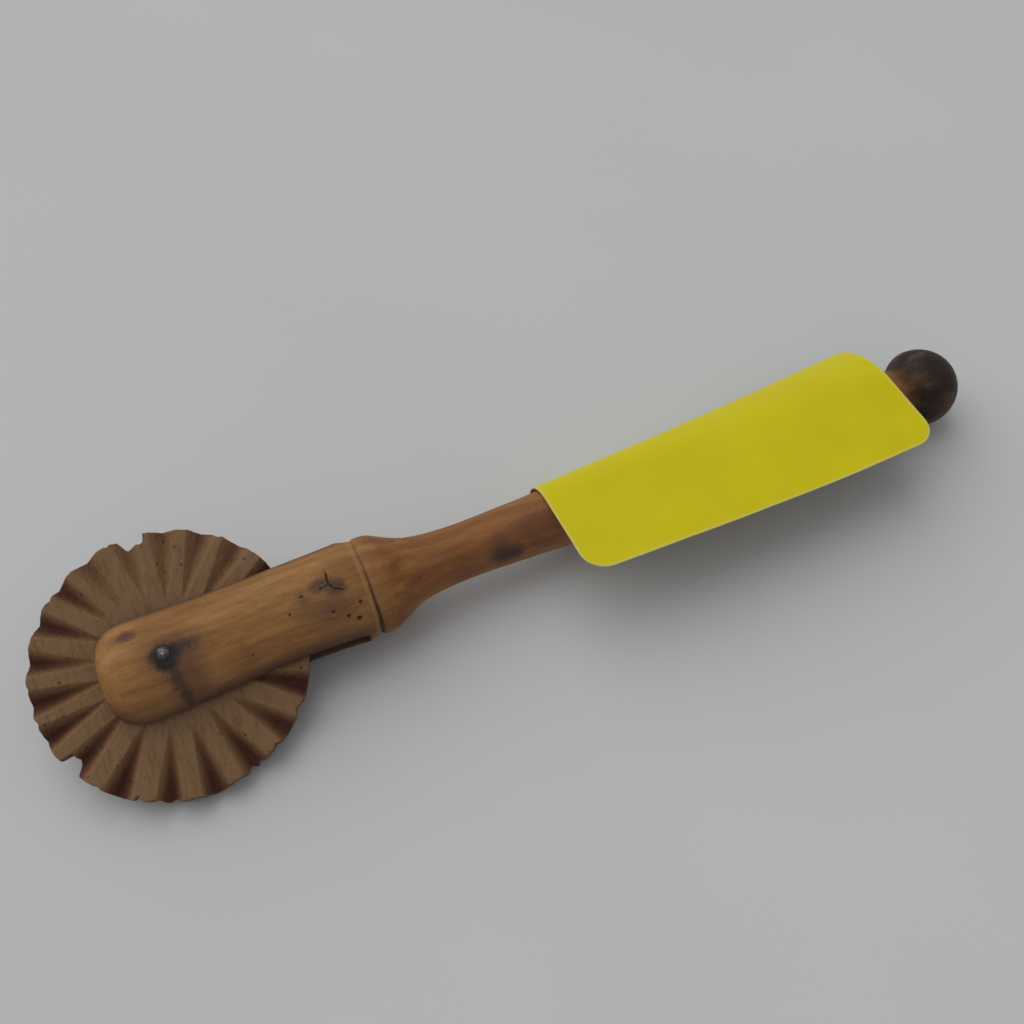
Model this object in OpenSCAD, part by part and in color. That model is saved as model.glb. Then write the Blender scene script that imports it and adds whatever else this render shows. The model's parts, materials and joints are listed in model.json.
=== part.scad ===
// Small wooden pastry crimper: a one-piece turned handle with a sawn fork,
// a fluted wooden wheel between the cheeks, an iron nail as the axle and a
// bent paper shop label round the grip. It is drawn lying at rest: the rim
// of the wheel, the shoulder of the head and the ball touch the surface z=0.
// The tool's own axes: X along the handle towards the ball, origin at the
// centre of the wheel, Z square to the wheel.

/* [Wheel] */
// Outer diameter of the fluted wheel
wheel_d = 32.5; // [31:0.1:33.2]
// Thickness of the wheel at the hub and on the lands between the flutes
wheel_t = 3.2; // [2.9:0.05:3.3]
// Flutes cut in each face, those below half a step from those above
flutes = 20; // [16:2:22]
// Depth of a flute where it runs out at the rim
flute_depth = 2.2; // [1.6:0.05:2.25]
// Radius of the flat hub where the flutes start, as a share of the wheel's radius
flute_start = 0.43; // [0.38:0.01:0.5]

/* [Head and fork] */
// Diameter of the round head, which is a little waisted between tip and shoulder
head_d = 12.8; // [12.4:0.1:13.4]
// Length of the head beyond the axle, to its domed tip
head_tip = 8; // [7.6:0.1:8.4]
// Width of the saw slot that holds the wheel
slot_w = 3.6; // [3.5:0.05:4]
// Distance from the axle to the bottom of the slot
slot_depth = 22.7; // [20:0.1:22.9]

/* [Grip] */
// Diameter of the waist behind the head
waist_d = 7.2; // [6.6:0.1:7.6]
// Largest diameter of the grip, near the ball
grip_d = 8.5; // [8.1:0.05:8.56]
// Diameter of the neck in front of the ball
neck_d = 7; // [6.4:0.1:7.2]
// Diameter of the ball at the end
ball_d = 10.68; // [10:0.02:11.2]
// Distance from the axle to the centre of the ball
ball_x = 105.4; // [105:0.1:112]

/* [Axle] */
// Diameter of the iron nail
pin_d = 1.7; // [1.4:0.05:2]
// Radial running clearance between the nail and the wheel
bore_gap = 0.06; // [0.03:0.01:0.09]

/* [Label] */
// Length of the paper label along the grip
label_l = 50.8; // [48:0.1:51]
// Height of the label before it was bent round the grip
label_h = 25.4; // [24:0.1:25.6]
// Thickness of the paper
label_t = 0.14; // [0.1:0.01:0.2]
// Radius of the label's corners
label_corner = 3.2; // [2.4:0.1:4]

/* [Hidden] */
$fn = 96;

wheel_r = wheel_d / 2;
half_t = wheel_t / 2;
head_r = head_d / 2;
ball_r = ball_d / 2;
neck_r = neck_d / 2;
waist_r = waist_d / 2;
grip_r = grip_d / 2;
pin_r = pin_d / 2;
bore_r = pin_r + bore_gap;
hub_r = flute_start * wheel_r;
pitch = 360 / flutes;

// ---- Lying at rest -------------------------------------------------------
// The axis slopes down towards the ball, because the head is thicker.
shoulder_x = 22.2;
shoulder_r = head_r + 0.05;
slope = atan2(shoulder_r, ball_x - shoulder_x)
      - asin(ball_r / norm([shoulder_r, ball_x - shoulder_x]));
axle_h = ball_r + ball_x * sin(slope);
// Angle between the wheel's axle and the vertical when its rim touches down
lean = asin(axle_h / norm([wheel_r, half_t])) - atan2(half_t, wheel_r);
roll = acos(cos(lean) / cos(slope));
// Middle of the lying tool along X
mid_x = ((ball_x * cos(slope) + ball_r)
       - (wheel_r * sqrt(1 - pow(cos(roll) * sin(slope), 2))
          + half_t * cos(roll) * sin(slope))) / 2;

module lie_down() {
    translate([-mid_x, 0, axle_h]) rotate([roll, slope, 0]) children();
}

// ---- Turned profile ------------------------------------------------------
// Control points [x, r] of the profile between the head's tip and the neck,
// and a smooth curve through them.
ball_flat = 4;
neck_x = ball_x - ball_flat * sqrt(1 - pow(neck_r / ball_r, 2));
tip_r = head_r + 0.22;
tip_len = 5.4;
back = [
    [tip_len - head_tip, tip_r], [0, head_r + 0.2], [4, head_r + 0.08],
    [9, head_r - 0.07], [14, head_r - 0.13], [18, head_r - 0.08],
    [20.8, head_r + 0.01], [shoulder_x, shoulder_r], [22.9, head_r - 0.01],
    [23.5, head_r - 0.18], [24.1, head_r - 0.33], [24.7, head_r - 0.23],
    [25.4, head_r - 0.18], [26.1, head_r - 0.25], [26.8, head_r - 0.42],
    [27.4, head_r - 0.72], [28.1, waist_r + 1.74], [29, waist_r + 1.28],
    [30, waist_r + 0.86], [31.2, waist_r + 0.50],
    [33, waist_r + 0.24], [35.5, waist_r + 0.06], [38, waist_r],
    [42, waist_r + 0.09], [46, waist_r + 0.21], [51, waist_r + 0.43],
    [58, grip_r - 0.13], [66, grip_r - 0.06], [76, grip_r - 0.01],
    [86, grip_r], [neck_x - 5.4, grip_r], [neck_x - 3, grip_r - 0.05],
    [neck_x - 1.6, grip_r - 0.32], [neck_x - 0.6, neck_r + 0.14],
    [neck_x, neck_r]
];
function spline(a, b, c, d, t) =
    0.5 * (2 * b + (c - a) * t + (2 * a - 5 * b + 4 * c - d) * t * t
           + (3 * b - a - 3 * c + d) * t * t * t);
function smooth(p, n) = [
    for (i = [0 : len(p) - 2]) for (k = [0 : n - 1])
        spline(p[max(i - 1, 0)], p[i], p[i + 1],
               p[min(i + 2, len(p) - 1)], k / n)
];
// Domed tip of the head, a little flatter than a ball
tip = [for (a = [0 : 7.5 : 82.5])
        [-head_tip + tip_len * (1 - pow(cos(a), 0.8)),
         tip_r * pow(sin(a), 0.5)]];
// The ball: rounded outside, flattened where it meets the neck
ball_in = [for (a = [acos(sqrt(1 - pow(neck_r / ball_r, 2))) : 6.5 : 88])
        [ball_x - ball_flat * cos(a), ball_r * sin(a)]];
ball_out = [for (a = [90 : 6 : 180]) [ball_x - ball_r * cos(a),
        a == 180 ? 0 : ball_r * sin(a)]];
profile = concat([for (q = tip) [q[0], max(q[1], 0)]],
                 smooth(back, 4), ball_in, ball_out);

module turned_body() {
    // The profile is drawn with the handle's axis along Z, then laid along X
    rotate([90, 0, 90]) rotate_extrude($fn = 128)
        polygon([for (q = profile) [q[1], q[0]]]);
}

// One-piece handle: head sawn into two cheeks, collar, grip, neck and ball
module handle() color([0.66, 0.42, 0.24]) lie_down() difference() {
    turned_body();
    translate([-head_tip - 2, -head_d, -slot_w / 2])
        cube([head_tip + 2 + slot_depth, head_d * 2, slot_w]);
    translate([0, 0, -head_r - 1]) cylinder(r = pin_r, h = head_d + 2);
}

// One V flute: a square bar on edge, sloping down from the hub to the rim
module flute(angle) {
    fall = atan2(flute_depth, wheel_r - hub_r);
    rotate([0, 0, angle]) translate([hub_r, 0, half_t]) rotate([0, fall, 0])
        translate([-0.4, 0, 0.4 * tan(fall)]) rotate([45, 0, 0])
            cube([wheel_r, 4, 4]);
}

// Wheel with sharp flutes on both faces and a round bore for the nail
module crimping_wheel() color([0.55, 0.40, 0.30]) lie_down() difference() {
    translate([0, 0, -half_t]) cylinder(r = wheel_r, h = wheel_t, $fn = 180);
    for (k = [0 : flutes - 1]) {
        flute(-90 + k * pitch);
        mirror([0, 0, 1]) flute(-90 + (k + 0.5) * pitch);
    }
    translate([0, 0, -wheel_t]) cylinder(r = bore_r, h = wheel_t * 2);
}

// Iron nail through both cheeks, its clipped ends dressed to low domes
module axle_pin() color([0.30, 0.28, 0.28]) lie_down() {
    end = head_r - 0.02;
    dome = 0.2;
    rotate_extrude($fn = 48) polygon(concat(
        [[0, -end - dome]],
        [for (a = [75 : -15 : 0]) [pin_r * cos(a), -end - dome * sin(a)]],
        [for (a = [0 : 15 : 75]) [pin_r * cos(a), end + dome * sin(a)]],
        [[0, end + dome]]));
}

// ---- Paper label ---------------------------------------------------------
// It lies flat over the top of the grip, with its lower half standing off on
// the near side, and rolls over the far side: tightly at the waist end and
// loosely at the ball end. All these change evenly along its length.
label_x = 48.8;
near_rise = [26.4, 19.4];   // tilt of the flat half, degrees
near_run = [13.0, 11.0];    // flat half, from the grip's crest to its edge
near_bulge = 0.45;          // the near edge bows out in the middle
roll_r = [5.4, 13.1];       // radius of the rolled half
label_gap = grip_r + 0.05;  // inner face to the grip's axis
function mix(v, t) = v[0] + (v[1] - v[0]) * t;
// Point of the sheet: u along the grip from 0 to 1, s up the sheet from its
// near edge, w out from its inner face
function sheet(u, s, w) =
    let (a = mix(near_rise, u), r = mix(roll_r, u),
         f = mix(near_run, u) + 4 * near_bulge * u * (1 - u),
         n = [sin(a), cos(a)], e = [-cos(a), sin(a)],
         g = (s - f) / r * 180 / PI,
         q = s < f ? (label_gap + w) * n + (f - s) * e
                   : (label_gap - r) * n
                     + (r + w) * (cos(g) * n - sin(g) * e))
    [label_x + label_l * u, q[0], q[1]];
// Cut made by a rounded corner, at the distance x from the label's end
function corner_cut(x) = x >= label_corner ? 0 :
    label_corner - sqrt(max(0, pow(label_corner, 2) - pow(label_corner - x, 2)));
label_xs = concat([for (k = [0 : 4]) label_corner * (1 - cos(k * 22.5))],
    [for (k = [1 : 9]) label_corner + (label_l - 2 * label_corner) * k / 10],
    [for (k = [0 : 4]) label_l - label_corner * (1 - sin(k * 22.5))]);
label_rows = len(label_xs);
label_cols = 21;

module price_label() color([0.86, 0.82, 0.06]) lie_down() {
    pts = [for (w = [0, label_t]) for (x = label_xs)
        let (c = min(corner_cut(x), label_corner)
               + max(0, corner_cut(label_l - x)))
        for (j = [0 : label_cols - 1])
            sheet(x / label_l, c + (label_h - 2 * c) * j / (label_cols - 1), w)];
    m = label_cols;
    n = label_rows * m;
    quad_in = [for (i = [0 : label_rows - 2]) for (j = [0 : m - 2])
        each [[i * m + j, (i + 1) * m + j, (i + 1) * m + j + 1],
              [i * m + j, (i + 1) * m + j + 1, i * m + j + 1]]];
    quad_out = [for (q = quad_in) [q[2] + n, q[1] + n, q[0] + n]];
    loop = concat([for (j = [0 : m - 1]) j],
        [for (i = [1 : label_rows - 1]) i * m + m - 1],
        [for (j = [m - 2 : -1 : 0]) (label_rows - 1) * m + j],
        [for (i = [label_rows - 2 : -1 : 1]) i * m]);
    rim = [for (i = [0 : len(loop) - 1])
        let (a = loop[i], b = loop[(i + 1) % len(loop)])
        each [[a, b, b + n], [a, b + n, a + n]]];
    polyhedron(points = pts, faces = concat(quad_in, quad_out, rim));
}

handle();
crimping_wheel();
axle_pin();
price_label();
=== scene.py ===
import json
import math
import bmesh
import bpy
import numpy as np
from mathutils import Matrix


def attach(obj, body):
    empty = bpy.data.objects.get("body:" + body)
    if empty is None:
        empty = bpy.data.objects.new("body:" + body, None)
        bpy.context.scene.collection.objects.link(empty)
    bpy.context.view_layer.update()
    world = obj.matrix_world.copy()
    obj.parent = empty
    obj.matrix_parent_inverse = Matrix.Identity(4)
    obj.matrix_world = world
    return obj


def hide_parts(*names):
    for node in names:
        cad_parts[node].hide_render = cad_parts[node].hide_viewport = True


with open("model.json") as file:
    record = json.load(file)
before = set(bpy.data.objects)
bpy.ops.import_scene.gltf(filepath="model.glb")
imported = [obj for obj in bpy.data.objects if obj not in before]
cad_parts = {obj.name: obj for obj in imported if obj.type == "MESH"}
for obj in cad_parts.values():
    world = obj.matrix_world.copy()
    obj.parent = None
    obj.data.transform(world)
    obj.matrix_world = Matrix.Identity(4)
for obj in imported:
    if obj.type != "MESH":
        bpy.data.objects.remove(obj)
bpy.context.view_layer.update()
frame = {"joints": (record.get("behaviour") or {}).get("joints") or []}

bpy.context.view_layer.update()

# ---------------------------------------------------------------------------
# The tool's own axes: X along the handle towards the ball, origin at the
# centre of the wheel, Z square to the wheel. All shapes below are in
# millimetres in those axes, and lie() carries them into the shared frame.
# ---------------------------------------------------------------------------
spin = frame["joints"][0]
az = np.array(spin["axis"], float)
az /= np.linalg.norm(az)
hx = np.array([az[2], 0.0, -az[0]])
hx /= np.linalg.norm(hx)
AX = np.stack([hx, np.cross(az, hx), az], 1)
AT = np.array(spin["pos_m"], float)
LIE = Matrix([[*AX[0], AT[0]], [*AX[1], AT[1]], [*AX[2], AT[2]], [0, 0, 0, 1]])


# ---- Seeded noise ----------------------------------------------------------
def lattice(ix, iy, iz, seed):
    h = (ix.astype(np.uint32) * np.uint32(374761393)
         + iy.astype(np.uint32) * np.uint32(668265263)
         + iz.astype(np.uint32) * np.uint32(2246822519)
         + np.uint32((seed * 3266489917) % 4294967296))
    h = (h ^ (h >> np.uint32(13))) * np.uint32(1274126177)
    h = (h ^ (h >> np.uint32(16))) * np.uint32(2654435761)
    h = h ^ (h >> np.uint32(15))
    return h.astype(np.float64) / 2147483648.0 - 1.0


def vnoise(p, seed=0):
    """Smooth value noise, -1 to 1, at the rows of p."""
    p = np.asarray(p, float)
    i = np.floor(p).astype(np.int64)
    f = p - i
    u = f * f * f * (f * (f * 6 - 15) + 10)
    out = np.zeros(len(p))
    for dx in (0, 1):
        wx = u[:, 0] if dx else 1 - u[:, 0]
        for dy in (0, 1):
            wy = u[:, 1] if dy else 1 - u[:, 1]
            for dz in (0, 1):
                wz = u[:, 2] if dz else 1 - u[:, 2]
                out += wx * wy * wz * lattice(i[:, 0] + dx, i[:, 1] + dy, i[:, 2] + dz, seed)
    return out


def fbm(p, octaves, seed=0):
    out, amp, tot = np.zeros(len(p)), 1.0, 0.0
    for k in range(octaves):
        out += amp * vnoise(np.asarray(p, float) * 2 ** k, seed + 17 * k)
        tot += amp
        amp *= 0.5
    return out / tot


def step(x, a, b):
    t = np.clip((np.asarray(x, float) - a) / (b - a), 0, 1)
    return t * t * (3 - 2 * t)


def bell(x, c, w):
    return np.exp(-((np.asarray(x, float) - c) / w) ** 2)


# ---- Mesh helpers ----------------------------------------------------------
def make_mesh(name, verts, faces, tidy=True):
    """A closed mesh piece from tool-frame millimetres, its object lying as the tool does."""
    me = bpy.data.meshes.new(name)
    me.from_pydata((np.asarray(verts, float) * 0.001).tolist(), [],
                   [list(map(int, f)) for f in faces])
    if tidy:
        bm = bmesh.new()
        bm.from_mesh(me)
        bmesh.ops.recalc_face_normals(bm, faces=bm.faces)
        bm.to_mesh(me)
        bm.free()
    ob = bpy.data.objects.new(name, me)
    bpy.context.scene.collection.objects.link(ob)
    ob.matrix_world = LIE
    return ob


def coords(me):
    co = np.zeros(len(me.vertices) * 3)
    me.vertices.foreach_get("co", co)
    return co.reshape(-1, 3) * 1000.0


def normals(me):
    no = np.zeros(len(me.vertices) * 3)
    me.vertices.foreach_get("normal", no)
    return no.reshape(-1, 3)


def set_coords(me, p):
    me.vertices.foreach_set("co", (np.asarray(p, float) * 0.001).ravel())
    me.update()


def add_float(me, name, values):
    a = me.attributes.new(name, "FLOAT", "POINT")
    a.data.foreach_set("value", np.asarray(values, np.float32))


def finish_mesh(ob, mat, body, node, sharp=50):
    me = ob.data
    me.polygons.foreach_set("use_smooth", [True] * len(me.polygons))
    me.set_sharp_from_angle(angle=math.radians(sharp))
    me.materials.clear()
    me.materials.append(mat)
    me.transform(LIE)
    me.update()
    ob.matrix_world = Matrix.Identity(4)
    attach(ob, body)
    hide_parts(node)


def grid_faces(a, b):
    """Quads between two open rows of vertex numbers."""
    return [(a[k], a[k + 1], b[k + 1], b[k]) for k in range(len(a) - 1)]


def ring_faces(a, b):
    n = len(a)
    return [(a[k], a[(k + 1) % n], b[(k + 1) % n], b[k]) for k in range(n)]


# ---------------------------------------------------------------------------
# Handle
# ---------------------------------------------------------------------------
HEAD_R, TIP_R, TIP_X, TIP_LEN = 6.4, 6.62, -8.0, 5.4
WAIST_R, GRIP_R, NECK_R, BALL_R = 3.6, 4.25, 3.5, 5.34
BALL_X, BALL_FLAT = 105.4, 4.0
HALF_SLOT, SLOT_X = 1.8, 22.7
PIN_R, WHEEL_R, HALF_T = 0.85, 16.25, 1.6
NECK_X = BALL_X - BALL_FLAT * math.sqrt(1 - (NECK_R / BALL_R) ** 2)

BACK = [(-2.6, TIP_R), (0, HEAD_R + .2), (4, HEAD_R + .08), (9, HEAD_R - .07),
        (14, HEAD_R - .13), (18, HEAD_R - .08), (20.8, HEAD_R + .01), (22.2, HEAD_R + .05),
        (22.9, HEAD_R - .01), (23.5, HEAD_R - .18), (24.1, HEAD_R - .33), (24.7, HEAD_R - .23),
        (25.4, HEAD_R - .18), (26.1, HEAD_R - .25), (26.8, HEAD_R - .42), (27.4, HEAD_R - .72),
        (28.1, WAIST_R + 1.74), (29, WAIST_R + 1.28), (30, WAIST_R + .86), (31.2, WAIST_R + .5),
        (33, WAIST_R + .24), (35.5, WAIST_R + .06), (38, WAIST_R), (42, WAIST_R + .09),
        (46, WAIST_R + .21), (51, WAIST_R + .43), (58, GRIP_R - .13), (66, GRIP_R - .06),
        (76, GRIP_R - .01), (86, GRIP_R), (NECK_X - 5.4, GRIP_R), (NECK_X - 3, GRIP_R - .05),
        (NECK_X - 1.6, GRIP_R - .32), (NECK_X - .6, NECK_R + .14), (NECK_X, NECK_R)]


def catmull(p, n):
    p = np.array(p, float)
    q = np.vstack([p[:1], p, p[-1:]])
    t = np.linspace(0, 1, n, endpoint=False)[:, None]
    out = []
    for i in range(len(p) - 1):
        a, b, c, d = q[i:i + 4]
        out.append(0.5 * (2 * b + (c - a) * t + (2 * a - 5 * b + 4 * c - d) * t * t
                          + (3 * b - a - 3 * c + d) * t ** 3))
    return np.vstack(out + [p[-1:]])


def profile():
    a = np.linspace(0.0, math.pi / 2, 900)[1:-1]
    tip = np.stack([TIP_X + TIP_LEN * (1 - np.cos(a) ** 0.8), TIP_R * np.sin(a) ** 0.5], 1)
    b = np.linspace(math.asin(NECK_R / BALL_R), math.pi / 2, 200)[1:-1]
    ball_in = np.stack([BALL_X - BALL_FLAT * np.cos(b), BALL_R * np.sin(b)], 1)
    c = np.linspace(math.pi / 2, math.pi, 260)
    ball_out = np.stack([BALL_X - BALL_R * np.cos(c), BALL_R * np.sin(c)], 1)
    return np.vstack([tip, catmull(BACK, 40), ball_in, ball_out])


def spacing(x):
    """Distance between rows of vertices along the profile."""
    s = np.full_like(x, 0.2)
    s = np.where((x > 17.4) & (x < 22.4), 0.145, s)
    s = np.where((x > 23.2) & (x < 25.2), 0.1, s)
    s = s + 0.13 * step(x, 28, 34) + 0.3 * step(x, 52, 58) - 0.4 * step(x, 95, 99)
    return s


def resample(curve):
    d = np.linalg.norm(np.diff(curve, axis=0), axis=1)
    mid = (curve[1:, 0] + curve[:-1, 0]) / 2
    k = np.concatenate([[0], np.cumsum(d / spacing(mid))])
    n = int(round(k[-1]))
    t = np.linspace(0, k[-1], n + 1)
    return np.stack([np.interp(t, k, curve[:, 0]), np.interp(t, k, curve[:, 1])], 1)


def bow(x):
    """The handle is bent a little, towards the far side."""
    return (0.47 * step(x, 1.5, 17) + 0.09 * step(x, 24, 36)) * (1 - step(x, 50, 88))


N_ARC, N_SIDE, N_FIL, N_CHORD = 84, 14, 3, 20
N_FLAT = N_CHORD + 2 * N_FIL
FULL = 2 * N_ARC + 2 * N_SIDE


def build_handle():
    line = profile()
    k = int(np.argmax((line[:, 1] > HALF_SLOT + 0.07) & (line[:, 0] < 0)))
    e = int(np.searchsorted(line[:, 0], SLOT_X))
    f = (SLOT_X - line[e - 1, 0]) / (line[e, 0] - line[e - 1, 0])
    end = line[e - 1] + f * (line[e] - line[e - 1])
    front = resample(np.vstack([line[k:e], end]))
    rear = resample(np.vstack([end, line[e:]]))
    verts, faces = [], []

    def add(rows):
        n0 = len(verts)
        verts.extend(rows)
        return list(range(n0, n0 + len(rows)))

    def full_ring(x, r, phi0):
        upper = np.linspace(phi0, math.pi - phi0, N_ARC + 1)[:-1]
        left = np.linspace(math.pi - phi0, math.pi + phi0, N_SIDE + 1)[:-1]
        phi = np.concatenate([upper, left, upper + math.pi, left + math.pi])
        return [(x, r * math.cos(a), r * math.sin(a)) for a in phi]

    # Solid part, from the bottom of the slot to the ball
    phi_e = math.asin(HALF_SLOT / end[1])
    rings = [add(full_ring(x, r, phi_e)) for x, r in rear[:-1]]
    for a, b in zip(rings[:-1], rings[1:]):
        faces += ring_faces(a, b)
    pole = add([(rear[-1, 0], 0.0, 0.0)])[0]
    last = rings[-1]
    faces += [(last[i], last[(i + 1) % FULL], pole) for i in range(FULL)]
    ring_e = rings[0]

    # Two cheeks, the lower one the upper one turned half round
    def cheek(x, r, side):
        w = float(step(x, SLOT_X - 1.1, SLOT_X))
        rho = min(0.3 * (1 - w), 0.3 * (r - HALF_SLOT)) + 1e-4
        yc = math.sqrt((r - rho) ** 2 - (HALF_SLOT + rho) ** 2)
        beta = math.atan2(HALF_SLOT + rho, yc)
        pts = [(r * math.cos(a), r * math.sin(a))
               for a in np.linspace(beta, math.pi - beta, N_ARC + 1)]
        fil = np.linspace(math.pi - beta, 1.5 * math.pi, N_FIL + 1)[1:]
        low = [(-yc + rho * math.cos(a), HALF_SLOT + rho + rho * math.sin(a)) for a in fil]
        low += [(y, HALF_SLOT) for y in np.linspace(-yc, yc, N_CHORD + 1)[1:]]
        low += [(-y, z) for y, z in low[:N_FIL - 1][::-1]]
        wide = math.sqrt(r * r - HALF_SLOT ** 2)
        even = np.linspace(-wide, wide, N_FLAT + 1)[1:-1]
        low = [((1 - w) * y + w * ye, (1 - w) * z + w * HALF_SLOT)
               for (y, z), ye in zip(low, even)]
        return [(x, side * y, side * z) for y, z in pts + low]

    chords = {}
    for side, first in ((1, 0), (-1, N_ARC + N_SIDE)):
        loops = [add(cheek(x, r, side)) for x, r in front[:-1]]
        # chord points of the loop at the end of the slot
        wide = math.sqrt(end[1] ** 2 - HALF_SLOT ** 2)
        chord = add([(SLOT_X, side * y, side * HALF_SLOT)
                     for y in np.linspace(-wide, wide, N_FLAT + 1)[1:-1]])
        arc = [ring_e[(first + i) % FULL] for i in range(N_ARC + 1)]
        loops.append(arc + chord)
        for a, b in zip(loops[:-1], loops[1:]):
            faces += ring_faces(a, b)
        nose = add([tuple(np.mean([verts[i] for i in loops[0]], axis=0) - np.array([0.012, 0, 0]))])[0]
        n = len(loops[0])
        faces += [(loops[0][(i + 1) % n], loops[0][i], nose) for i in range(n)]
        chords[side] = chord if side == 1 else chord[::-1]

    # Bottom of the slot
    rows = [[ring_e[N_ARC]] + chords[1] + [ring_e[0]]]
    for s in range(1, N_SIDE):
        left, right = ring_e[N_ARC + s], ring_e[FULL - s]
        pl, pr = np.array(verts[left]), np.array(verts[right])
        mid = add([tuple(pl + (pr - pl) * c / N_FLAT) for c in range(1, N_FLAT)])
        rows.append([left] + mid + [right])
    rows.append([ring_e[N_ARC + N_SIDE]] + chords[-1] + [ring_e[FULL - N_SIDE]])
    for a, b in zip(rows[:-1], rows[1:]):
        faces += grid_faces(a, b)
    return make_mesh("turned_handle", verts, faces)


CRACKS = [((20.15, 2.38, 6.06), (20.02, 1.69, 6.24)), ((20.02, 1.69, 6.24), (19.98, 0.97, 6.33)),
          ((18.84, 0.78, 6.34), (19.4, 0.86, 6.34)), ((19.4, 0.86, 6.34), (19.98, 0.95, 6.34)),
          ((19.98, 0.97, 6.33), (20.41, 0.32, 6.35)), ((20.41, 0.32, 6.35), (20.84, 0.05, 6.33)),
          ((20.84, 0.05, 6.33), (21.45, -0.26, 6.3))]


CRACKS = [((a[0], a[1], 0.0), (b[0], b[1], 0.0)) for a, b in CRACKS]   # seen from above


def seg_dist(p, a, b):
    a, b = np.array(a), np.array(b)
    ba = b - a
    h = np.clip(((p - a) @ ba) / (ba @ ba), 0, 1)
    return np.linalg.norm(p - a - h[:, None] * ba, axis=1)


def wear_handle(ob):
    me = ob.data
    p, n = coords(me), normals(me)
    x, y, z = p.T
    r = np.hypot(y, z)
    flat = (x < SLOT_X + 0.05) & (np.abs(z) < HALF_SLOT + 0.02) & (r < 6.2)
    ball = step(x, 100.8, 102.4)
    d = -0.05 * (1 + fbm(p / np.array([9, 5, 5]), 3, 3)) * (1 - 0.5 * ball)
    d += -0.03 * np.maximum(0, fbm(p / np.array([3.2, 1.7, 1.7]), 3, 9))
    d += 0.016 * vnoise(p / np.array([6, 0.55, 0.55]), 21) * (1 - ball)
    d += 0.008 * vnoise(p / 0.42, 23)
    # shallow knocks and dents
    rng = np.random.default_rng(41)
    for _ in range(46):
        cx = rng.uniform(-6, 110)
        ca = rng.uniform(0, 2 * math.pi)
        rr = float(np.interp(cx, [-8, 22, 27, 31, 100, 104, 110.7], [5.5, 6.4, 5.7, 4.1, 4.2, 5.3, 1.5]))
        c = np.array([cx, rr * math.cos(ca), rr * math.sin(ca)])
        size = rng.uniform(0.3, 0.9)
        q = (p - c) / np.array([size * 1.6, size, size])
        d -= rng.uniform(0.03, 0.09) * np.exp(-np.sum(q * q, axis=1))
    # thin raised line and the groove beside it, just behind the shoulder
    low_side = 0.5 - 0.5 * np.clip(y / 5, -1, 1)
    wob = 0.06 * vnoise(np.stack([x * 0, y / 2.5, z / 2.5], 1), 5)
    d += 0.06 * bell(x, 24.02 + wob, 0.17)
    d -= (0.10 + 0.14 * low_side) * bell(x, 24.52 + wob, 0.15 + 0.07 * low_side)
    # torn wood at the near corner where the slot ends
    q = (p - np.array([23.9, -5.4, 2.0])) / np.array([0.9, 0.8, 1.0])
    d -= 0.22 * np.exp(-np.sum(q * q, axis=1)) * (1 + vnoise(p / 0.35, 31))
    # knot: sunken patch with a three-armed crack
    q = (p - np.array([19.1, 1.1, 6.3])) / np.array([1.7, 1.0, 1.2])
    d -= 0.07 * np.exp(-np.sum(q * q, axis=1) ** 2)
    jag = p * [1, 1, 0] + 0.09 * np.stack([vnoise(p / 0.3, 51), vnoise(p / 0.3, 52), 0 * x], 1)
    near = np.min([seg_dist(jag, a, b) for a, b in CRACKS], axis=0)
    d -= 0.16 * np.exp(-(near / 0.12) ** 2) * (z > 4)
    q = (p - np.array([20.5, 0.75, 6.3])) / np.array([1.0, 0.8, 1.2])
    d += 0.05 * np.exp(-np.sum(q * q, axis=1))
    # little worm holes and pits
    for hx_, hy_, hz_, rad in ((20.99, -3.18, 5.17, 0.2), (22.09, -3.74, 4.72, 0.24), (22.8, -2.2, 5.76, 0.18),
                               (19.46, -2.23, 5.73, 0.16), (16.56, 0.69, 6.35, 0.14)):
        q = (p - np.array([hx_, hy_, hz_])) / rad
        d -= 0.16 * np.exp(-np.sum(q * q, axis=1))
    # wood drawn in round the nail, both ends
    rn = np.hypot(x, y)
    d -= 0.13 * np.exp(-((rn - 0.85) / 0.55) ** 2) * (np.abs(z) > 5)
    p2 = p + n * np.where(flat, 0.2 * d + 0.05, d)[:, None]
    # saw marks on the inner faces
    saw = 0.018 * np.sin(x * 9 + 2 * vnoise(p / 2.5, 61)) + 0.02 * vnoise(p / np.array([0.7, 3, 3]), 62)
    p2[:, 2] += np.where(flat & (x < SLOT_X - 0.3), saw * np.sign(z), 0)
    p2[:, 1] += bow(p2[:, 0])
    set_coords(me, p2)


def cut_pin_hole(ob):
    n = 48
    ring = [(PIN_R * math.cos(2 * math.pi * k / n), PIN_R * math.sin(2 * math.pi * k / n)) for k in range(n)]
    verts = [(a, b, -9) for a, b in ring] + [(a, b, 9) for a, b in ring]
    faces = [tuple(range(n - 1, -1, -1)), tuple(range(n, 2 * n))]
    faces += [(k, (k + 1) % n, n + (k + 1) % n, n + k) for k in range(n)]
    tool = make_mesh("hole_cutter", verts, faces)
    mod = ob.modifiers.new("hole", "BOOLEAN")
    mod.operation = "DIFFERENCE"
    mod.object = tool
    mod.solver = "EXACT"
    bpy.context.view_layer.update()
    got = bpy.data.meshes.new_from_object(ob.evaluated_get(bpy.context.evaluated_depsgraph_get()))
    ob.modifiers.clear()
    old = ob.data
    ob.data = got
    bpy.data.meshes.remove(old)
    bpy.data.objects.remove(tool)


# ---------------------------------------------------------------------------
# Wheel
# ---------------------------------------------------------------------------
TOP_FLUTES = [6, 24.5, 43, 59.5, 76, 93, 110, 126, 142.5, 159.5, 177, 193, 210, 231, 253,
              271, 290, 309, 329, 347.5]


def turn_gap(a, b):
    return (a - b + 180) % 360 - 180


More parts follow.
